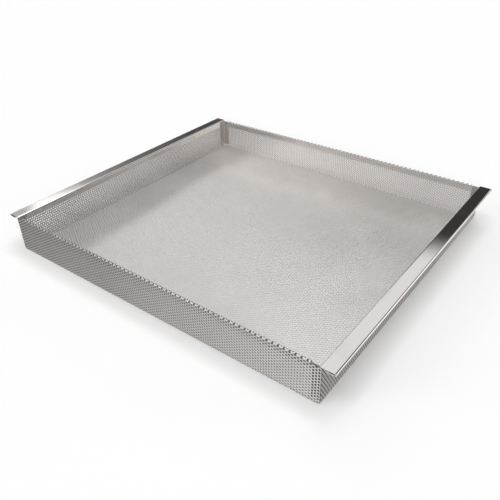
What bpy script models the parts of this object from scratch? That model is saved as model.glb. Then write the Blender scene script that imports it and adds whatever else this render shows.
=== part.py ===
"""Perforated stainless tray that hangs on two folded side rails. Metres, +Z up.

X runs from one rail to the other, Y from the front wall to the back wall. The origin is the
centre of the tray's underside. The tray is one perforated sheet, folded up on four sides and
hemmed inwards along its front and back. Two rails of plain sheet stiffen the other two walls
and carry the tray, and four small angles close the corners. Everything is spot welded.
"""

import math

import bpy
import bmesh
from mathutils import Matrix, Vector

# Driving dimensions
TRAY_WIDTH = 0.489  # outside the side walls
TRAY_DEPTH = 0.452  # outside the front and back walls, and the length of a rail
HEIGHT = 0.0525  # from the underside to the top of the rails and hems
SHEET = 0.001  # every piece is folded from sheet of this thickness
GAP = 0.0003  # between pieces that touch

# The tray's folds, measured to the middle of the sheet
FLOOR_BEND = 0.0013
HEM_BEND = 0.0012
HEM_DEPTH = 0.0108
CORNER_SLIT = 0.0008  # how far a bend stops short of the mitre at a corner

# Rails
FLANGE_WIDTH = 0.0183  # from the leg's inner face to the rounded edge
LEG_HEIGHT = 0.0095
RAIL_BEND = 0.0015
EDGE_BEND = 0.0013
EDGE_HEM = 0.0105  # how far the edge is folded back under the flange

# Corner angles
ANGLE_LEG = 0.0105
ANGLE_BEND = 0.0012
ANGLE_BOTTOM = 0.0052

BEND_STEPS = 6
UP = Vector((0, 0, 1))

# Places worked out from the dimensions above
WALL_X = TRAY_WIDTH / 2 - SHEET / 2  # middle of a side wall's sheet
WALL_Y = TRAY_DEPTH / 2 - SHEET / 2  # middle of the front and back walls' sheet
FLOOR_Z = SHEET / 2
RAIL_TOP_Z = HEIGHT - SHEET / 2
LINER_X = WALL_X - SHEET - GAP  # middle of what lies against a side wall's inside
LINER_Y = WALL_Y - SHEET - GAP
UNDER_FLANGE_Z = HEIGHT - SHEET - GAP  # top of whatever the flange covers
HEM_TURN_Z = RAIL_TOP_Z - HEM_BEND  # where a hem starts to turn over
HEM_END_X = LINER_X + SHEET / 2 - ANGLE_LEG - 2 * GAP


def clear_scene():
    for obj in list(bpy.data.objects):
        bpy.data.objects.remove(obj)


def new_collection(name):
    collection = bpy.data.collections.new(name)
    bpy.context.scene.collection.children.link(collection)
    return collection


def steel(name, colour, roughness):
    material = bpy.data.materials.new(name)
    material.use_nodes = True
    shader = material.node_tree.nodes["Principled BSDF"]
    shader.inputs["Base Color"].default_value = (*colour, 1)
    shader.inputs["Metallic"].default_value = 1
    shader.inputs["Roughness"].default_value = roughness
    return material


def arc(centre, radius, start, end, steps=BEND_STEPS):
    """Points round an arc after its first one. Angles are in degrees from the first axis."""
    points = []
    for i in range(1, steps + 1):
        angle = math.radians(start + (end - start) * i / steps)
        points.append((centre[0] + radius * math.cos(angle), centre[1] + radius * math.sin(angle)))
    return points


def sheet_object(name, bm, material, collection):
    """Closes an open surface into sheet metal, half the thickness on either side of it."""
    bmesh.ops.recalc_face_normals(bm, faces=bm.faces)
    mesh = bpy.data.meshes.new(name)
    bm.to_mesh(mesh)
    bm.free()
    mesh.materials.append(material)
    obj = bpy.data.objects.new(name, mesh)
    collection.objects.link(obj)
    thicken = obj.modifiers.new("sheet", "SOLIDIFY")
    thicken.thickness = SHEET
    thicken.offset = 0
    thicken.use_even_offset = True
    return obj


def extruded_profile(points, direction):
    """Open surface swept from a line of points along a straight direction."""
    bm = bmesh.new()
    verts = [bm.verts.new(point) for point in points]
    edges = [bm.edges.new(pair) for pair in zip(verts, verts[1:])]
    swept = bmesh.ops.extrude_edge_only(bm, edges=edges)["geom"]
    far = [item for item in swept if isinstance(item, bmesh.types.BMVert)]
    bmesh.ops.translate(bm, verts=far, vec=direction)
    return bm


def fold(bm, edges, outward, path):
    """Extrudes a row of edges through path, and returns the last row.

    Each step of the path is where the row goes: its distance outwards, its height, and how far
    its two ends reach from the middle of the wall.
    """
    along = Vector((-outward.y, outward.x, 0))
    for out, height, reach in path:
        made = bmesh.ops.extrude_edge_only(bm, edges=edges)["geom"]
        verts = {item for item in made if isinstance(item, bmesh.types.BMVert)}
        edges = [
            item
            for item in made
            if isinstance(item, bmesh.types.BMEdge) and verts.issuperset(item.verts)
        ]
        end = max(abs(v.co.dot(along)) for v in verts)
        for v in verts:
            place = v.co.dot(along)
            if abs(place) > end - GAP:
                place = math.copysign(reach, place)
            v.co = outward * out + UP * height + along * place
    return edges


def wall_path(wall, corner, end, top):
    """Steps of a wall's bend and of its flat, up to top.

    wall is the sheet's distance from the middle, corner where the neighbouring bend starts, and
    end the reach of the finished wall's ends.
    """
    bend = arc((wall - FLOOR_BEND, FLOOR_Z + FLOOR_BEND), FLOOR_BEND, -90, 0)
    path = [(out, height, corner + out - wall + FLOOR_BEND - CORNER_SLIT) for out, height in bend]
    spread = end - path[-1][2]
    if spread > GAP:  # the ends spread at 45 degrees to cover the neighbouring wall's edge
        path.append((wall, bend[-1][1] + spread, end))
    return path + [(wall, top, end)]


def hem_path():
    """Steps of a hem from the top of the unhemmed wall, over and down its inside."""
    turn = arc((WALL_Y - HEM_BEND, HEM_TURN_Z), HEM_BEND, 0, 180, 2 * BEND_STEPS)
    inner = WALL_Y - 2 * HEM_BEND
    steps = [(WALL_Y, HEM_TURN_Z)] + turn + [(inner, HEIGHT - HEM_DEPTH)]
    return [(out, height, HEM_END_X) for out, height in steps]


def perforated_tray(material, collection):
    bm = bmesh.new()
    flat_x = WALL_X - FLOOR_BEND
    flat_y = WALL_Y - FLOOR_BEND
    end_x = flat_x - CORNER_SLIT
    end_y = flat_y - CORNER_SLIT
    front = [(x, -flat_y, FLOOR_Z) for x in (-end_x, -HEM_END_X, HEM_END_X, end_x)]
    right = [(flat_x, y, FLOOR_Z) for y in (-end_y, end_y)]
    back = [(-x, -y, z) for x, y, z in front]
    left = [(-x, -y, z) for x, y, z in right]
    sides = [[bm.verts.new(point) for point in side] for side in (front, right, back, left)]
    bm.faces.new([vert for side in sides for vert in side])
    rows = [[bm.edges.get(pair) for pair in zip(side, side[1:])] for side in sides]

    for row, outward in ((rows[0], Vector((0, -1, 0))), (rows[2], Vector((0, 1, 0)))):
        path = wall_path(WALL_Y, flat_x, TRAY_WIDTH / 2, HEM_TURN_Z - GAP)
        top = fold(bm, row, outward, path)
        middle = min(top, key=lambda edge: abs(edge.verts[0].co.x + edge.verts[1].co.x))
        fold(bm, [middle], outward, hem_path())
    for row, outward in ((rows[1], Vector((1, 0, 0))), (rows[3], Vector((-1, 0, 0)))):
        end = WALL_Y - SHEET / 2 - GAP
        fold(bm, row, outward, wall_path(WALL_X, flat_y, end, UNDER_FLANGE_Z))
    return sheet_object("perforated_tray", bm, material, collection)


def notch_cutter(name, collection):
    """Box that takes the leg off both ends of a rail, where the corner angles stand."""
    bm = bmesh.new()
    leg_end = LINER_Y + SHEET / 2 - ANGLE_LEG - 2 * GAP
    length = TRAY_DEPTH / 2
    for side in (-1, 1):
        low = Vector((LINER_X - FLANGE_WIDTH, leg_end, 0))
        high = Vector((WALL_X + SHEET, leg_end + length, UNDER_FLANGE_Z + GAP / 2))
        size = Matrix.Diagonal((*(high - low), 1))
        middle = (low + high) / 2
        middle.y *= side
        bmesh.ops.create_cube(bm, size=1, matrix=Matrix.Translation(middle) @ size)
    mesh = bpy.data.meshes.new(name)
    bm.to_mesh(mesh)
    bm.free()
    cutter = bpy.data.objects.new(name, mesh)
    collection.objects.link(cutter)
    cutter.hide_render = True
    cutter.display_type = "WIRE"
    return cutter


def rail_profile():
    """The right rail's section: leg, bend, flange, rounded edge and the hem under it, in X and Z."""
    leg_foot = (LINER_X, HEIGHT - LEG_HEIGHT)
    bend_centre = (LINER_X + RAIL_BEND, RAIL_TOP_Z - RAIL_BEND)
    edge_x = LINER_X - SHEET / 2 + FLANGE_WIDTH - SHEET / 2
    edge_centre = (edge_x - EDGE_BEND, RAIL_TOP_Z - EDGE_BEND)
    hem_end = (edge_x + SHEET / 2 - EDGE_HEM, RAIL_TOP_Z - 2 * EDGE_BEND)
    points = [leg_foot, (LINER_X, bend_centre[1])]
    points += arc(bend_centre, RAIL_BEND, 180, 90)
    points += [(edge_centre[0], RAIL_TOP_Z)]
    points += arc(edge_centre, EDGE_BEND, 90, -90, 2 * BEND_STEPS)
    return points + [hem_end]


def rail(name, turn, material, collection, cutters):
    """One rail, turned about the tray's middle to the side it belongs on."""
    start = -TRAY_DEPTH / 2
    points = [(x, start, z) for x, z in rail_profile()]
    bm = extruded_profile(points, Vector((0, TRAY_DEPTH, 0)))
    obj = sheet_object(name, bm, material, collection)
    obj.rotation_euler.z = turn
    cut = obj.modifiers.new("notches", "BOOLEAN")
    cut.operation = "DIFFERENCE"
    cut.object = notch_cutter(name + "_notches", cutters)
    cut.object.rotation_euler.z = turn
    return obj


def corner_angle(name, sign_x, sign_y, material, collection):
    """Small upright angle inside a corner, one leg against each wall."""
    leg = ANGLE_LEG - SHEET / 2
    centre = (LINER_X - ANGLE_BEND, LINER_Y - ANGLE_BEND)
    section = [(LINER_X, LINER_Y - leg), (LINER_X, centre[1])]
    section += arc(centre, ANGLE_BEND, 0, 90)
    section += [(LINER_X - leg, LINER_Y)]
    points = [(x * sign_x, y * sign_y, ANGLE_BOTTOM) for x, y in section]
    top = UNDER_FLANGE_Z - GAP
    bm = extruded_profile(points, UP * (top - ANGLE_BOTTOM))
    return sheet_object(name, bm, material, collection)


def main():
    clear_scene()
    tray_collection = new_collection("straining_tray")
    cutters = new_collection("cutters")
    perforated = steel("perforated_steel", (0.62, 0.61, 0.59), 0.35)
    bright = steel("rail_steel", (0.72, 0.71, 0.70), 0.18)
    angle_steel = steel("angle_steel", (0.66, 0.65, 0.64), 0.25)

    perforated_tray(perforated, tray_collection)
    rail("rail_right", 0, bright, tray_collection, cutters)
    rail("rail_left", math.pi, bright, tray_collection, cutters)
    for depth_name, sign_y in (("front", -1), ("back", 1)):
        for side_name, sign_x in (("left", -1), ("right", 1)):
            name = f"corner_angle_{depth_name}_{side_name}"
            corner_angle(name, sign_x, sign_y, angle_steel, tray_collection)


main()
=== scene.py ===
"""Looks of the perforated stainless tray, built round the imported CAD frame. Metres, +Z up."""

import math

import bmesh
import bpy
import numpy as np
from mathutils import Matrix, Vector


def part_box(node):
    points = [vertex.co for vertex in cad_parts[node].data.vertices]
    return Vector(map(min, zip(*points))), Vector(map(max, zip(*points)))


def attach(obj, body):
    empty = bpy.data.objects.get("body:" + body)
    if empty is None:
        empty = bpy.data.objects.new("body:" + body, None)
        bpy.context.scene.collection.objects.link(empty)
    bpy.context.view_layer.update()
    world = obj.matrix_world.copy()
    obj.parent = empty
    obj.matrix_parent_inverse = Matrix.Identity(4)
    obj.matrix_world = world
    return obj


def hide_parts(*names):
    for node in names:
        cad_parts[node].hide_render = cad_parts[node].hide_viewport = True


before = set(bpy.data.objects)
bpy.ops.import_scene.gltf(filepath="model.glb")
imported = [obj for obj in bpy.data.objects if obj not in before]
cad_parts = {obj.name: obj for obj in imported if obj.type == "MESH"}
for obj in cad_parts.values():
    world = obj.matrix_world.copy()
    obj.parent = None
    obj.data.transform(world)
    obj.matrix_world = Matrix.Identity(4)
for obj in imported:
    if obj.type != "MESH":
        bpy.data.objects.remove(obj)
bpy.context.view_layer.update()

# The sheet and its folds, as the CAD has them, measured to the middle of the sheet
SHEET = 0.001
FLOOR_BEND = 0.0013
HEM_BEND = 0.0012
HEM_DEPTH = 0.0108
CORNER_SLIT = 0.0008
GAP = 0.0003
ANGLE_LEG = 0.0105
ANGLE_BEND = 0.0012
ANGLE_BOTTOM = 0.0052
FLANGE_WIDTH = 0.0183
LEG_HEIGHT = 0.0095
RAIL_BEND = 0.0015
EDGE_BEND = 0.0013
EDGE_HEM = 0.0105

# Perforation: round holes in a staggered pattern whose closest rows run along Y
PITCH = 0.004
HOLE_RADIUS = 0.00125
HOLE_SIDES = 12
COLUMN = PITCH * math.sqrt(3) / 2
TINY = 1e-7  # lengths below this count as nothing

# How finely the folds are cut
MITRE_STEPS = 3
BEND_CREASES = 4
TURN_CREASES = 6
FLOOR_STRIPS = 7
ARC_STEP = math.radians(9)
SUPPORT = 0.0002  # from a straight run's end to the point that keeps its shading flat
LEAST_SPREAD = 0.5  # limits how far an outline reaches out at a sharp turn
CUT_EDGE = 0.00012  # how far the cut edges of the plain sheet are rounded
CUT_SEGMENTS = 2
CUT_ANGLE = math.radians(50)
SHARP_PERFORATED = math.radians(40)
SHARP_PLAIN = math.radians(20)

# Each wall's axis, and which end of that axis it stands at
WALLS = {"left": (0, -1), "right": (0, 1), "front": (1, -1), "back": (1, 1)}

# Places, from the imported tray's box
_, TRAY_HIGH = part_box("perforated_tray")
HALF_X = TRAY_HIGH.x
HALF_Y = TRAY_HIGH.y
HEIGHT = TRAY_HIGH.z
WALL_X = HALF_X - SHEET / 2
WALL_Y = HALF_Y - SHEET / 2
FLAT_X = WALL_X - FLOOR_BEND
FLAT_Y = WALL_Y - FLOOR_BEND
WALL_FOOT_Z = SHEET / 2 + FLOOR_BEND
LOW_TOP_Z = HEIGHT - SHEET - GAP
HEM_TURN_Z = HEIGHT - SHEET / 2 - HEM_BEND
LINER_X = WALL_X - SHEET - GAP
LINER_Y = WALL_Y - SHEET - GAP
HEM_END_X = LINER_X + SHEET / 2 - ANGLE_LEG - 2 * GAP

# Lengths along a wall's flat sheet, from the edge of the floor's flat
BEND_LENGTH = FLOOR_BEND * math.pi / 2
LOW_TOP = BEND_LENGTH + LOW_TOP_Z - WALL_FOOT_Z
TURN_START = BEND_LENGTH + HEM_TURN_Z - WALL_FOOT_Z
SHOULDER = TURN_START - GAP  # top of a hemmed wall beside its hem
TURN_END = TURN_START + HEM_BEND * math.pi
HEM_END = TURN_END + HEM_TURN_Z - (HEIGHT - HEM_DEPTH)


# ---------------------------------------------------------------- perforated sheet, cut flat

def cell_quads(columns, rows):
    """Quads of every hexagonal cell with its hole, as points in the plane."""
    column, row = np.meshgrid(columns, rows, indexing="ij")
    stagger = 0.5 * (column % 2)
    centres = np.stack([column * COLUMN, (row + stagger) * PITCH], axis=-1).reshape(-1, 1, 2)
    turn = np.arange(HOLE_SIDES) * (2 * math.pi / HOLE_SIDES)
    direction = np.stack([np.cos(turn), np.sin(turn)], axis=-1)
    hole = direction * HOLE_RADIUS * math.sqrt(math.pi / 3)  # keeps the round hole's area
    reach = np.where(np.arange(HOLE_SIDES) % 2 == 0, PITCH / math.sqrt(3), PITCH / 2)
    outer = direction * reach[:, None]
    quads = np.stack([outer, np.roll(outer, -1, axis=0), np.roll(hole, -1, axis=0), hole], axis=1)
    return (centres[:, :, None] + quads[None]).reshape(-1, 4, 2)


def split_polygon(polygon, distance):
    """The parts of a convex polygon on either side of a line, given each corner's distance."""
    sides = ([], [])
    for i, (a, da) in enumerate(zip(polygon, distance)):
        b, db = polygon[(i + 1) % len(polygon)], distance[(i + 1) % len(polygon)]
        if da >= -TINY:
            sides[0].append(a)
        if da <= TINY:
            sides[1].append(a)
        if (da > TINY and db < -TINY) or (da < -TINY and db > TINY):
            crossing = a + (b - a) * (da / (da - db))
            sides[0].append(crossing)
            sides[1].append(crossing)
    return sides


class FlatSheet:
    """Convex polygons that tile a flat perforated sheet: whole quads, and odd cut ones."""

    def __init__(self, quads):
        self.quads = quads
        self.odd = []

    def slice(self, normal, offset, keep_both):
        """Cuts along the line normal . p = offset. The side where it is smaller is kept."""
        normal = np.array(normal, float)
        distance = offset - self.quads @ normal
        inside = (distance >= -TINY).all(axis=1)
        outside = (distance <= TINY).all(axis=1)
        odd = [(p, offset - p @ normal) for p in self.odd]
        odd += list(zip(self.quads[~inside & ~outside], distance[~inside & ~outside]))
        self.quads = self.quads[inside | outside] if keep_both else self.quads[inside]
        self.odd = []
        for polygon, d in odd:
            kept, cut = split_polygon(polygon, d)
            if len(kept) > 2 and max(d) > TINY:
                self.odd.append(np.array(kept))
            if keep_both and len(cut) > 2 and min(d) < -TINY:
                self.odd.append(np.array(cut))


def lattice_range(low, high, step):
    """Numbers of the columns or rows of holes over a length, with one to spare at each end."""
    return np.arange(math.floor(low / step) - 1, math.ceil(high / step) + 2)


def cut_sheet(columns, rows, outline, creases=()):
    """The sheet inside an outline, split along creases. Both are (normal, offset) lines."""
    sheet = FlatSheet(cell_quads(columns, rows))
    for normal, offset in outline:
        sheet.slice(normal, offset, keep_both=False)
    for normal, offset in creases:
        sheet.slice(normal, offset, keep_both=True)
    return sheet


# ---------------------------------------------------------------- folding the flat sheet up

def wall_section(along, wall):
    """Distance outwards, height and both parts of the normal, for lengths up a flat wall."""
    bend = np.clip(along, 0, BEND_LENGTH) / FLOOR_BEND
    turn = np.clip(along - TURN_START, 0, TURN_END - TURN_START) / HEM_BEND
    rise = np.clip(along, BEND_LENGTH, TURN_START) - BEND_LENGTH
    drop = np.clip(along - TURN_END, 0, None)
    before = np.clip(along, None, 0)
    outwards = wall - FLOOR_BEND * (1 - np.sin(bend)) - HEM_BEND * (1 - np.cos(turn)) + before
    height = SHEET / 2 + FLOOR_BEND * (1 - np.cos(bend)) + rise + HEM_BEND * np.sin(turn) - drop
    facing = bend + turn  # 0 faces down, a quarter turn faces outwards
    return outwards, height, np.sin(facing), -np.cos(facing)


def fold_points(flat, side):
    """Places and outward normals of the flat sheet's points. side is floor or one of WALLS."""
    zero = np.zeros(len(flat))
    if side == "floor":
        places = np.stack([flat[:, 0], flat[:, 1], zero + SHEET / 2], axis=1)
        return places, np.stack([zero, zero, zero - 1], axis=1)
    axis, sign = WALLS[side]
    start, wall = (FLAT_X, WALL_X) if axis == 0 else (FLAT_Y, WALL_Y)
    out, height, normal_out, normal_up = wall_section(sign * flat[:, axis] - start, wall)
    places = np.stack([flat[:, 0], flat[:, 1], height], axis=1)
    places[:, axis] = sign * out
    normals = np.stack([zero, zero, normal_up], axis=1)
    normals[:, axis] = sign * normal_out
    return places, normals


def weld(points):
    """Unique points, and the index of each given point among them."""
    keys = np.round(points / TINY).astype(np.int64)
    _, first, index = np.unique(keys, axis=0, return_index=True, return_inverse=True)
    return points[first], index.reshape(-1)


def sheet_solid(name, sheet, side, materials):
    """Closed sheet metal: the flat polygons on both faces of the sheet, joined round every edge.

    The first material is the two faces', and the second the cut edges', round holes included.
    """
    corners = [sheet.quads.reshape(-1, 2)] + sheet.odd
    sizes = np.array([4] * len(sheet.quads) + [len(p) for p in sheet.odd])
    points, index = weld(np.concatenate(corners))

    # The polygons' edges from point a to point b, without those that the weld brought to nothing
    starts = np.concatenate([[0], np.cumsum(sizes)[:-1]])
    owner = np.repeat(np.arange(len(sizes)), sizes)
    following = np.arange(len(index)) + 1
    last = starts + sizes - 1
    following[last] = starts
    a, b = index, index[following]
    real = a != b
    a, b, owner = a[real], b[real], owner[real]
    sizes = np.bincount(owner, minlength=len(sizes))
    keep = np.isin(owner, np.nonzero(sizes > 2)[0])
    a, b, sizes = a[keep], b[keep], sizes[sizes > 2]

    # An edge that only one polygon uses is a cut edge, and gets a face across the sheet
    count = len(points)
    edge = np.minimum(a, b) * count + np.maximum(a, b)
    _, where, uses = np.unique(edge, return_inverse=True, return_counts=True)
    free = uses[where.reshape(-1)] == 1
    rim = np.stack([b[free], a[free], a[free] + count, b[free] + count], axis=1)

    places, normals = fold_points(points, side)
    half = SHEET / 2
    verts = np.concatenate([places - normals * half, places + normals * half])
    ends = np.cumsum(sizes)
    flip = np.repeat(ends, sizes) - 1 - (np.arange(len(a)) - np.repeat(ends - sizes, sizes))
    loops = np.concatenate([a, a[flip] + count, rim.ravel()])
    totals = np.concatenate([sizes, sizes, np.full(len(rim), 4)])
    slots = np.concatenate([np.zeros(2 * len(sizes)), np.ones(len(rim))])
    return mesh_object(name, verts, loops, totals, slots, materials)


def add_object(name, data):
    obj = bpy.data.objects.new(name, data)
    bpy.context.scene.collection.objects.link(obj)
    return obj


def object_from(bm, name, materials=()):
    """Ends a bmesh, and returns it as an object in the scene."""
    mesh = bpy.data.meshes.new(name)
    bm.to_mesh(mesh)
    bm.free()
    for material in materials:
        mesh.materials.append(material)
    return add_object(name, mesh)


def mesh_object(name, verts, loops, totals, slots, materials):
    """Object of polygons given as one row of loops, with each polygon's size and material slot."""
    mesh = bpy.data.meshes.new(name)
    mesh.vertices.add(len(verts))
    mesh.vertices.foreach_set("co", verts.astype(np.float32).ravel())
    mesh.loops.add(len(loops))
    mesh.loops.foreach_set("vertex_index", loops.astype(np.int32))
    mesh.polygons.add(len(totals))
    starts = np.concatenate([[0], np.cumsum(totals)[:-1]])
    mesh.polygons.foreach_set("loop_start", starts.astype(np.int32))
    mesh.polygons.foreach_set("loop_total", totals.astype(np.int32))
    for material in materials:
        mesh.materials.append(material)
    mesh.polygons.foreach_set("material_index", slots.astype(np.int32))
    mesh.update(calc_edges=True)
    mesh.shade_smooth()
    mesh.set_sharp_from_angle(angle=SHARP_PERFORATED)
    return add_object(name, mesh)


def floor_outline():
    """Lines round the floor's flat, with its corners cut off at 45 degrees."""
    corner = FLAT_X + FLAT_Y - CORNER_SLIT
    lines = [((x, y), corner) for x in (-1, 1) for y in (-1, 1)]
    lines += [((-1, 0), FLAT_X), ((1, 0), FLAT_X), ((0, -1), FLAT_Y), ((0, 1), FLAT_Y)]
    return lines


def floor_strips():
    """The floor in strips that end between two columns of holes, so that each is a light mesh."""
    columns = lattice_range(-FLAT_X, FLAT_X, COLUMN)
    rows = lattice_range(-FLAT_Y, FLAT_Y, PITCH)
    for part in np.array_split(columns, FLOOR_STRIPS):
        yield cut_sheet(part, rows, floor_outline())


class WallPattern:
    """The flat shape of one wall, in lengths up the wall from its fold and along the fold."""

    def __init__(self, side):
        self.axis, self.sign = WALLS[side]
        self.hemmed = self.axis == 1
        self.start = FLAT_Y if self.hemmed else FLAT_X
        self.foot = (FLAT_X if self.hemmed else FLAT_Y) - CORNER_SLIT
        self.end = HALF_X if self.hemmed else WALL_Y - SHEET / 2 - GAP
        self.low_top = SHOULDER if self.hemmed else LOW_TOP
        self.top = HEM_END if self.hemmed else LOW_TOP

    def line(self, up, along, offset):
        """The line where up * (length up the wall) + along * (place along the fold) = offset."""
        normal = [0, 0]
        normal[self.axis] = up * self.sign
        normal[1 - self.axis] = along
        return tuple(normal), offset + up * self.start

    def ends(self, low, high, reach_low, reach_high):
        """Lines at both ends of a band whose reach changes evenly from its low to its high side."""
        slope = (reach_high - reach_low) / (high - low)
        return [self.line(-slope, turn, reach_low - slope * low) for turn in (-1, 1)]

    def band(self, low, high):
        """Lines along the fold at two lengths up the wall."""
        return [self.line(-1, 0, -low), self.line(1, 0, high)]

    def bend(self):
        """Outline and creases of the bend at the floor, mitred at both ends."""
        steps = np.linspace(0, BEND_LENGTH, MITRE_STEPS + 1)
        reach = self.foot + FLOOR_BEND * np.sin(steps / FLOOR_BEND)
        lines = self.band(0, BEND_LENGTH)
        for i in range(MITRE_STEPS):
            lines += self.ends(steps[i], steps[i + 1], reach[i], reach[i + 1])
        creases = np.linspace(0, BEND_LENGTH, BEND_CREASES + 1)[1:-1]
        return lines, [self.line(1, 0, place) for place in creases]

    def flat(self):
        """Outline and creases of the wall itself."""
        lines = self.band(BEND_LENGTH, self.low_top)
        lines += [self.line(0, turn, self.end) for turn in (-1, 1)]
        reach = self.foot + FLOOR_BEND
        if self.end - reach > GAP:
            lines += self.ends(BEND_LENGTH, 2 * BEND_LENGTH, reach, reach + BEND_LENGTH)
        creases = [self.line(0, turn, HEM_END_X) for turn in (-1, 1)] if self.hemmed else []
        return lines, creases

    def hem(self):
        """Outline and creases of the hem, from the wall's shoulder over and down its inside."""
        lines = self.band(self.low_top, HEM_END)
        lines += [self.line(0, turn, HEM_END_X) for turn in (-1, 1)]
        creases = np.linspace(TURN_START, TURN_END, TURN_CREASES + 1)
        return lines, [self.line(1, 0, place) for place in creases]

    def sheet(self):
        """The whole wall, cut from one run of holes that carries on from the floor's."""
        bands = [self.bend(), self.flat()] + ([self.hem()] if self.hemmed else [])
        spans = [None, None]
        spans[self.axis] = sorted((self.sign * self.start, self.sign * (self.start + self.top)))
        spans[1 - self.axis] = (-self.end, self.end)
        columns = lattice_range(*spans[0], COLUMN)
        rows = lattice_range(*spans[1], PITCH)
        parts = [cut_sheet(columns, rows, outline, creases) for outline, creases in bands]
        whole = FlatSheet(np.concatenate([part.quads for part in parts]))
        whole.odd = [polygon for part in parts for polygon in part.odd]
        return whole


def perforated_pieces(steel, hole_shade_material):
    """The tray in floor strips and walls. Only the walls' holes and cut edges get the painted shade
    material, which darkens them as if they lay in shade.
    """
    pieces = []
    for number, sheet in enumerate(floor_strips(), 1):
        pieces.append(sheet_solid(f"tray_floor_{number}", sheet, "floor", [steel, steel]))
    for side in WALLS:
        wall = WallPattern(side).sheet()
        pieces.append(sheet_solid(f"tray_wall_{side}", wall, side, [steel, hole_shade_material]))
    return pieces


# ---------------------------------------------------------------- rails and corner angles

def arc(centre, radius, start, end):
    """Points of an arc after its first one. Angles are in degrees from the first axis."""
    sweep = math.radians(end - start)
    steps = math.ceil(abs(sweep) / ARC_STEP)
    angles = [math.radians(start) + sweep * i / steps for i in range(1, steps + 1)]
    return [(centre[0] + radius * math.cos(a), centre[1] + radius * math.sin(a)) for a in angles]


def straight(first, last):
    """A straight run's ends, and a point just inside each that keeps the run's shading flat."""
    first, last = np.array(first), np.array(last)
    inset = (last - first) * (SUPPORT / np.linalg.norm(last - first))
    return [tuple(first), tuple(first + inset), tuple(last - inset), tuple(last)]


def thick_outline(line):
    """Closed outline of a sheet whose middle follows a smooth open line."""
    points = np.array(line)
    step = np.diff(points, axis=0)
    step /= np.linalg.norm(step, axis=1)[:, None]
    tangent = np.concatenate([step[:1], step[:-1] + step[1:], step[-1:]])
    tangent /= np.linalg.norm(tangent, axis=1)[:, None]
    spread = 1 / np.maximum((tangent * np.concatenate([step[:1], step])).sum(axis=1), LEAST_SPREAD)
    offset = np.stack([-tangent[:, 1], tangent[:, 0]], axis=1) * (spread * SHEET / 2)[:, None]
    return np.concatenate([points + offset, (points - offset)[::-1]])


def swept(name, outline, place, low, high, material):
    """Solid of an outline swept between two ends. place turns (a, b, sweep) into a point."""
    bm = bmesh.new()
    rings = [[bm.verts.new(place(a, b, end)) for a, b in outline] for end in (low, high)]
    count = len(outline)
    for i in range(count):
        j = (i + 1) % count
        bm.faces.new((rings[0][i], rings[0][j], rings[1][j], rings[1][i]))
    for ring in rings:
        bm.faces.new(ring)
    bmesh.ops.recalc_face_normals(bm, faces=bm.faces)
    return object_from(bm, name, [material])


def finish_sheet(obj, cutters=()):
    """Cuts, rounds the cut edges and settles the result as the object's own mesh."""
    for cutter in cutters:
        cut = obj.modifiers.new("cut", "BOOLEAN")
        cut.operation = "DIFFERENCE"
        cut.object = cutter
    edges = obj.modifiers.new("cut edges", "BEVEL")
    edges.width = CUT_EDGE
    edges.segments = CUT_SEGMENTS
    edges.limit_method = "ANGLE"
    edges.angle_limit = CUT_ANGLE
    graph = bpy.context.evaluated_depsgraph_get()
    mesh = bpy.data.meshes.new_from_object(obj.evaluated_get(graph))
    obj.modifiers.clear()
    obj.data = mesh
    mesh.shade_smooth()
    mesh.set_sharp_from_angle(angle=SHARP_PLAIN)
    for cutter in cutters:
        bpy.data.objects.remove(cutter)


def rail_line():
    """Middle of the right rail's sheet in X and Z: leg, bend, flange, rounded edge and its hem."""
    top = HEIGHT - SHEET / 2
    bend = (LINER_X + RAIL_BEND, top - RAIL_BEND)
    edge_x = LINER_X + FLANGE_WIDTH - SHEET
    edge = (edge_x - EDGE_BEND, top - EDGE_BEND)
    under = top - 2 * EDGE_BEND
    points = straight((LINER_X, HEIGHT - LEG_HEIGHT), (LINER_X, bend[1]))
    points += arc(bend, RAIL_BEND, 180, 90)[:-1]
    points += straight((bend[0], top), (edge[0], top))
    points += arc(edge, EDGE_BEND, 90, -90)[:-1]
    return points + straight((edge[0], under), (edge_x + SHEET / 2 - EDGE_HEM, under))


def box(name, low, high):
    """Block between two corners."""
    bm = bmesh.new()
    size = Vector(high) - Vector(low)
    place = Matrix.Translation((Vector(high) + Vector(low)) / 2) @ Matrix.Diagonal((*size, 1))
    bmesh.ops.create_cube(bm, size=1, matrix=place)
    return object_from(bm, name)


def rail(side, turn, material):
    """A rail along Y. The leg stops short of both ends, where the corner angles stand."""

    def place(x, z, y):
        return turn * x, turn * y, z

    obj = swept(f"{side}_rail", thick_outline(rail_line()), place, -HALF_Y, HALF_Y, material)
    leg_end = LINER_Y + SHEET / 2 - ANGLE_LEG - 2 * GAP
    cutters = []
    for end in (-1, 1):
        xs = sorted((turn * (LINER_X - FLANGE_WIDTH), turn * (WALL_X + SHEET)))
        ys = sorted((end * leg_end, end * 2 * HALF_Y))
        low, high = (xs[0], ys[0], 0), (xs[1], ys[1], LOW_TOP_Z + GAP / 2)
        cutters.append(box("cutter", low, high))
    finish_sheet(obj, cutters)
    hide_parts(f"rail_{side}")
    return obj


def corner_angle(depth, side, material):
    """Small upright angle inside a corner of the tray."""
    sign_x = -1 if side == "left" else 1
    sign_y = -1 if depth == "front" else 1
    leg = ANGLE_LEG - SHEET / 2
    centre = (LINER_X - ANGLE_BEND, LINER_Y - ANGLE_BEND)
    line = straight((LINER_X, LINER_Y - leg), (LINER_X, centre[1]))
    line += arc(centre, ANGLE_BEND, 0, 90)[:-1]
    line += straight((centre[0], LINER_Y), (LINER_X - leg, LINER_Y))

    def place(x, y, z):
        return sign_x * x, sign_y * y, z

    name = f"{depth}_{side}_angle"
    obj = swept(name, thick_outline(line), place, ANGLE_BOTTOM, LOW_TOP_Z - GAP, material)
    finish_sheet(obj)
    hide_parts(f"corner_angle_{depth}_{side}")
    return obj


# ---------------------------------------------------------------- materials

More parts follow.
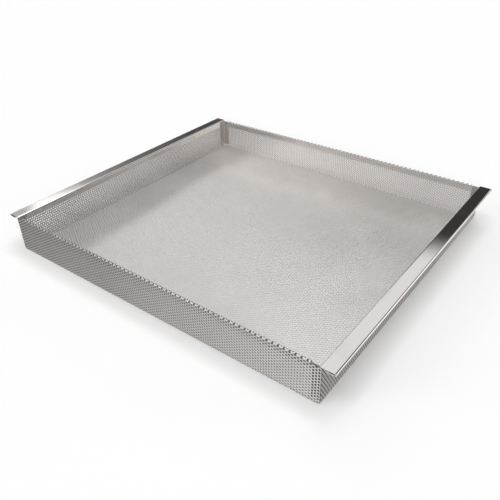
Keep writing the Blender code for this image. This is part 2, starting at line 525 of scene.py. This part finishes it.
PERFORATED_DARK = (0.745, 0.716, 0.697)
PERFORATED_BRIGHT = (0.815, 0.786, 0.767)
# Painted shade for the walls' hole insides: the dark and bright ends of its fine torn texture
HOLE_SHADE_DARK = (0.09, 0.086, 0.083)
HOLE_SHADE_BRIGHT = (0.2, 0.192, 0.186)
RAIL_DARK = (0.785, 0.745, 0.72)
RAIL_BRIGHT = (0.895, 0.857, 0.835)
ANGLE_DARK = (0.42, 0.4, 0.39)
ANGLE_BRIGHT = (0.54, 0.52, 0.5)
FLOOR_WHITE = (0.95, 0.95, 0.95)


def new_material(name, colour, roughness, metallic=1.0):
    """Material of one colour, and its shader."""
    material = bpy.data.materials.new(name)
    material.use_nodes = True
    shader = material.node_tree.nodes["Principled BSDF"]
    shader.inputs["Base Color"].default_value = (*colour, 1)
    shader.inputs["Roughness"].default_value = roughness
    shader.inputs["Metallic"].default_value = metallic
    return material, shader


class Graph:
    """Short calls for making and linking the nodes of one tree."""

    def __init__(self, tree):
        self.tree = tree

    def node(self, kind, **settings):
        made = self.tree.nodes.new(kind)
        for key, value in settings.items():
            setattr(made, key, value)
        return made

    def put(self, value, socket):
        """Links a socket, or sets a number or a colour of three numbers."""
        if isinstance(value, bpy.types.NodeSocket):
            self.tree.links.new(value, socket)
        elif isinstance(value, tuple):
            socket.default_value = (*value, 1)
        else:
            socket.default_value = value

    def math(self, operation, *values):
        made = self.node("ShaderNodeMath", operation=operation)
        for value, socket in zip(values, made.inputs):
            self.put(value, socket)
        return made.outputs[0]

    def step(self, value, low, high, from_value=0.0, to_value=1.0):
        """Smooth change from one value to another as the input goes from low to high."""
        made = self.node("ShaderNodeMapRange", interpolation_type="SMOOTHSTEP")
        for number, socket in zip((value, low, high, from_value, to_value), made.inputs):
            self.put(number, socket)
        return made.outputs[0]

    def ramp(self, value, stops):
        """Even change between brightnesses given at (place, brightness) stops."""
        made = self.node("ShaderNodeValToRGB")
        self.put(value, made.inputs[0])
        for place, brightness in stops[:-2]:
            made.color_ramp.elements.new(place)
        for element, (place, brightness) in zip(made.color_ramp.elements, stops):
            element.position = place
            element.color = (brightness, brightness, brightness, 1)
        return made.outputs[0]

    def blend(self, first, second, share):
        """Sum of two values, of which the first counts for share and the second for the rest."""
        first = self.math("MULTIPLY", first, share)
        return self.math("ADD", first, self.math("MULTIPLY", second, 1 - share))

    def noise(self, coordinates, scale, detail=2.0, stretch=(1, 1, 1)):
        mapping = self.node("ShaderNodeMapping")
        self.put(coordinates, mapping.inputs["Vector"])
        mapping.inputs["Scale"].default_value = stretch
        made = self.node("ShaderNodeTexNoise")
        self.put(mapping.outputs[0], made.inputs["Vector"])
        made.inputs["Scale"].default_value = scale
        made.inputs["Detail"].default_value = detail
        return made.outputs["Fac"]

    def mix(self, share, first, second):
        made = self.node("ShaderNodeMix", data_type="RGBA")
        self.put(share, made.inputs["Factor"])
        self.put(first, made.inputs["A"])
        self.put(second, made.inputs["B"])
        return made.outputs["Result"]


def object_place(graph):
    return graph.node("ShaderNodeTexCoord").outputs["Object"]


def perforated_steel():
    """Satin stainless sheet with faint clouding and a varied polish."""
    material, shader = new_material("perforated_steel", (0.8, 0.765, 0.745), roughness=0.34)
    graph = Graph(material.node_tree)
    place = object_place(graph)
    clouds = graph.noise(place, scale=9.0, detail=3.0)
    grain = graph.noise(place, scale=420.0, stretch=(1.0, 0.25, 1.0))
    tone = graph.step(graph.blend(clouds, grain, share=0.6), low=0.3, high=0.7)
    graph.put(graph.mix(tone, PERFORATED_DARK, PERFORATED_BRIGHT), shader.inputs["Base Color"])
    polish = graph.step(clouds, low=0.25, high=0.75, from_value=0.3, to_value=0.4)
    graph.put(polish, shader.inputs["Roughness"])
    return material


def painted_hole_shade():
    """Painted shade inside the walls' punched holes and on their cut edges: near-black metal that
    stands in for the shade there, with a fine torn texture.
    """
    material, shader = new_material("painted_hole_shade", (0.2, 0.19, 0.18), roughness=0.4)
    graph = Graph(material.node_tree)
    torn_shade = graph.step(graph.noise(object_place(graph), scale=1500.0), low=0.35, high=0.65)
    graph.put(graph.mix(torn_shade, HOLE_SHADE_DARK, HOLE_SHADE_BRIGHT), shader.inputs["Base Color"])
    return material


def plain_steel(name, dark, bright, smooth, rough):
    """Bright rolled sheet: fine lines along its length, and a few soft smudges."""
    material, shader = new_material(name, bright, smooth)
    graph = Graph(material.node_tree)
    place = object_place(graph)
    lines = graph.noise(place, scale=900.0, detail=3.0, stretch=(1.0, 0.02, 1.0))
    smudges = graph.step(graph.noise(place, scale=28.0, detail=4.0), low=0.56, high=0.72)
    share = graph.blend(lines, smudges, share=0.5)
    graph.put(graph.mix(share, bright, dark), shader.inputs["Base Color"])
    graph.put(graph.step(share, 0, 1, smooth, rough), shader.inputs["Roughness"])
    return material


# ---------------------------------------------------------------- camera, floor and light

CAMERA_PLACE = (0.4254, -0.5653, 0.4376)
CAMERA_TURN = (37.78, 33.514, -1.351)  # azimuth, elevation and roll, in degrees
CAMERA_LENS = 40.48
SENSOR = 36
FLOOR_REACH = 6
FLOOR_SQUARES = 4
FLOOR_DROP = 0.0002  # keeps the floor's surface clear of the tray's underside

# The studio. A rise is a change with height: elevations in degrees, and the brightness below and
# above them where they don't only part two areas.
GAP_RISE = (30.4, 33.4, 0.04, 0.82)
CORNER_RISE = (22, 27, 0.09, 0.95)
RIGHT_RISE = (54, 66, 0.08, 0.7)
FAR_RIGHT_RISE = (36, 46, 0.06, 0.8)
FRONT_RISE = (30, 40, 0.3, 0.5)
BACKDROP_FOOT = (19, 22)
BACKDROP_TOP = (26, 30)
FAR_RIGHT_FOOT = (17, 21)
FRONT_BAND_FOOT = (14, 17)
FRONT_BAND_TOP = (28, 34)
OVERHEAD_FOOT = (58, 62)
OVERHEAD_TOP = (72, 76)

# Headings where areas meet, in degrees from +Y towards -X, each with how soft the change is
DARK_END = (-58, 0.08)
FAR_RIGHT_END = (-43, 0.05)
LOW_PANEL_END = (-30, 0.03)
GAP_START = (9, 0.04)
CORNER_START = (29, 0.03)
LEFT_WALL_START = (38, 0.04)
LEFT_WALL_END = (61.5, 0.015)

# Changes along one part of the direction, which runs from -1 to 1: its start and end, and the
# brightness at each where it doesn't only part two areas.
FRONT_LEFT_LAMP = (-0.62, -0.35, 5.5, 0.4)
FRONT_RIGHT_LAMP = (0.25, 0.5, 0, 3)
FRONT_BAND_SIDE = (-0.62, -0.52, 1, 0)
FRONT_TO_BACK = (-0.05, 0.15)
FRONT_GROUND = (-0.75, -0.35, 0.42, 0.78)
BACK_GROUND = (-0.5, -0.3, 0.5, 1.25)
GROUND_FRONT_TO_BACK = (-0.1, 0.1)
CAMERA_SIDE = (0.45, 0.8)
OVERHEAD_LAMP = (-0.35, -0.2, 0.6, 4.3)
HORIZON = (-0.03, 0.03)

# Brightness of the left wall by height, as the sine of the elevation
LEFT_WALL = (
    (0.24, 0.3),
    (0.33, 0.8),
    (0.345, 0.055),
    (0.365, 0.07),
    (0.381, 0.115),
    (0.4, 0.15),
    (0.414, 0.24),
    (0.429, 0.4),
    (0.437, 1.2),
    (0.455, 1.2),
    (0.47, 1.9),
    (0.53, 1.1),
    (0.62, 0.6),
)


def grey(brightness):
    return brightness, brightness, brightness


def camera():
    """Camera at the place and turn worked out for this view."""
    data = bpy.data.cameras.new("camera")
    data.sensor_width = SENSOR
    data.lens = CAMERA_LENS
    azimuth, elevation, roll = (math.radians(angle) for angle in CAMERA_TURN)
    flat = math.cos(elevation)
    back = Vector((math.sin(azimuth) * flat, -math.cos(azimuth) * flat, math.sin(elevation)))
    level = Vector((0, 0, 1)).cross(back).normalized()
    upright = back.cross(level)
    right = level * math.cos(roll) + upright * math.sin(roll)
    up = upright * math.cos(roll) - level * math.sin(roll)
    turn = Matrix((right, up, back)).transposed().to_4x4()
    obj = add_object("camera", data)
    obj.matrix_world = Matrix.Translation(CAMERA_PLACE) @ turn
    bpy.context.scene.camera = obj


def floor():
    """Plain white table top. Polished metal doesn't mirror it, but the world's lower half."""
    material, shader = new_material("floor_white", FLOOR_WHITE, roughness=0.9, metallic=0)
    shader.inputs["Specular IOR Level"].default_value = 0
    bm = bmesh.new()
    squares = {"x_segments": FLOOR_SQUARES, "y_segments": FLOOR_SQUARES}
    bmesh.ops.create_grid(bm, size=FLOOR_REACH, **squares)
    obj = object_from(bm, "floor", [material])
    obj.location.z = -FLOOR_DROP
    obj.visible_glossy = False


class Studio:
    """The world's brightness by direction, which is a point (x, y, z) on a unit sphere.

    Bare steel shows what stands round it. The studio is fixed to the tray: its back has bright
    panels with dark gaps between them, its front a band with two lamps, and one side of it a lamp
    overhead.
    """

    def __init__(self, graph):
        self.graph = graph
        parts = graph.node("ShaderNodeSeparateXYZ")
        graph.put(graph.node("ShaderNodeTexCoord").outputs["Generated"], parts.inputs[0])
        self.x, self.y, self.z = parts.outputs

    def rise(self, low, high, below=0.0, above=1.0):
        """Change from one brightness to another between two elevations in degrees."""
        low, high = (math.sin(math.radians(angle)) for angle in (low, high))
        return self.graph.step(self.z, low, high, below, above)

    def beyond(self, angle, soft):
        """1 on the -X side of a heading counted from +Y towards -X, and 0 on the other side."""
        turn = math.radians(angle)
        across = self.graph.math("MULTIPLY", self.x, -math.cos(turn))
        forward = self.graph.math("MULTIPLY", self.y, math.sin(turn))
        return self.graph.step(self.graph.math("SUBTRACT", across, forward), -soft, soft)

    def behind(self):
        """The back, from its dark right end round to the left wall."""
        mix = self.graph.mix
        low_panel = mix(self.beyond(*LOW_PANEL_END), grey(1.3), grey(0.08))
        backdrop = mix(self.rise(*BACKDROP_FOOT), low_panel, grey(1.0))
        right = mix(self.rise(*BACKDROP_TOP), backdrop, self.rise(*RIGHT_RISE))
        far_right = mix(self.rise(*FAR_RIGHT_FOOT), low_panel, self.rise(*FAR_RIGHT_RISE))
        far_right = mix(self.beyond(*DARK_END), grey(0.05), far_right)
        left_wall = self.graph.ramp(self.z, LEFT_WALL)
        left_wall = mix(self.beyond(*LEFT_WALL_END), left_wall, grey(0.5))
        back = mix(self.beyond(*FAR_RIGHT_END), far_right, right)
        back = mix(self.beyond(*GAP_START), back, self.rise(*GAP_RISE))
        back = mix(self.beyond(*CORNER_START), back, self.rise(*CORNER_RISE))
        return mix(self.beyond(*LEFT_WALL_START), back, left_wall)

    def front(self):
        """The camera's side: a dim wall, and a band across it with a lamp at either end."""
        graph = self.graph
        lamps = graph.step(self.x, *FRONT_LEFT_LAMP)
        lamps = graph.math("ADD", lamps, graph.step(self.x, *FRONT_RIGHT_LAMP))
        top = self.rise(*FRONT_BAND_TOP)
        band = graph.math("SUBTRACT", self.rise(*FRONT_BAND_FOOT), top)
        band = graph.math("MULTIPLY", band, graph.step(self.y, *FRONT_BAND_SIDE))
        return graph.mix(band, self.rise(*FRONT_RISE), lamps)

    def ground(self):
        """What metal that faces down or level sees below the horizon."""
        graph = self.graph
        front = graph.step(self.x, *FRONT_GROUND)
        back = graph.step(self.z, *BACK_GROUND)
        ground = graph.mix(graph.step(self.y, *GROUND_FRONT_TO_BACK), front, back)
        towards_camera = graph.math("SUBTRACT", self.x, self.y)
        return graph.mix(graph.step(towards_camera, *CAMERA_SIDE), ground, grey(0.7))

    def colour(self):
        """The whole studio for reflections and light, and plain white for the camera."""
        graph = self.graph
        sky = graph.mix(graph.step(self.y, *FRONT_TO_BACK), self.front(), self.behind())
        overhead = graph.step(self.x, *OVERHEAD_LAMP)
        sky = graph.mix(self.rise(*OVERHEAD_FOOT), sky, overhead)
        sky = graph.mix(self.rise(*OVERHEAD_TOP), sky, grey(0.6))
        around = graph.mix(graph.step(self.z, *HORIZON), self.ground(), sky)
        seen = graph.node("ShaderNodeLightPath").outputs["Is Camera Ray"]
        return graph.mix(seen, around, grey(1))


def light():
    world = bpy.data.worlds.new("studio")
    world.use_nodes = True
    graph = Graph(world.node_tree)
    background = world.node_tree.nodes["Background"]
    graph.put(Studio(graph).colour(), background.inputs["Color"])
    bpy.context.scene.world = world


# ---------------------------------------------------------------- build

bpy.context.scene.view_settings.view_transform = "Standard"
camera()
floor()
light()
tray_steel = perforated_steel()
rail_steel = plain_steel("rail_steel", RAIL_DARK, RAIL_BRIGHT, smooth=0.035, rough=0.1)
angle_steel = plain_steel("angle_steel", ANGLE_DARK, ANGLE_BRIGHT, smooth=0.15, rough=0.3)
# The walls' holes and cut edges get the painted shade material
pieces = perforated_pieces(tray_steel, painted_hole_shade())
for piece in pieces:
    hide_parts("perforated_tray")
pieces += [rail("left", -1, rail_steel), rail("right", 1, rail_steel)]
for depth in ("front", "back"):
    pieces += [corner_angle(depth, side, angle_steel) for side in ("left", "right")]
for piece in pieces:
    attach(piece, "root")
